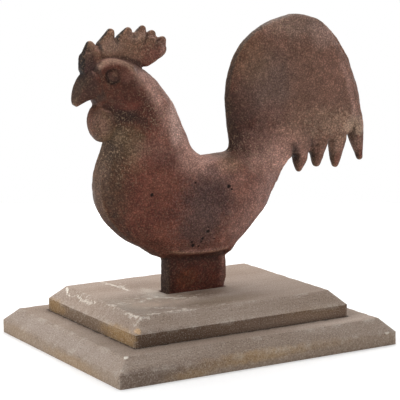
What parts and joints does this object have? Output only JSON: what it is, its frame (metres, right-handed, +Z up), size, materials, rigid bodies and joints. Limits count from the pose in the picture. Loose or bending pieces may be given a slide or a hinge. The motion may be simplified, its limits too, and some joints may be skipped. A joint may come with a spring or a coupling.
{
  "type": "windmill weight",
  "caption": "Cast-iron rooster counterweight whose flat stem drops into the mortise of a two-step wooden display stand and lifts out again.",
  "frame": {"origin": "middle of the stand's underside, on the surface that it stands on", "axes": "+X along the stand towards the tail, +Y through the casting away from the viewer, +Z up"},
  "size_m": [0.2667, 0.185, 0.238],
  "materials": {
    "rusted_iron": "bare sand casting with an even brown rust, matt and finely pitted",
    "upper_wood": "weathered grey-brown milk paint over pine, scuffed pale on top and rubbed to ochre wood at the ends",
    "lower_wood": "weathered grey-brown milk paint over pine, rubbed to ochre wood along the front",
    "screw_steel": "plain steel"
  },
  "bodies": {
    "stand": {"upper_board": "upper_wood", "lower_board": "lower_wood", "board_screws": "screw_steel"},
    "weight": {"rooster_casting": "rusted_iron"}
  },
  "joints": [
    {"name": "weight_lift", "type": "slide", "parent": "stand", "child": "weight", "axis": [0, 0, 1], "range_m": [0, 0.035]}
  ]
}
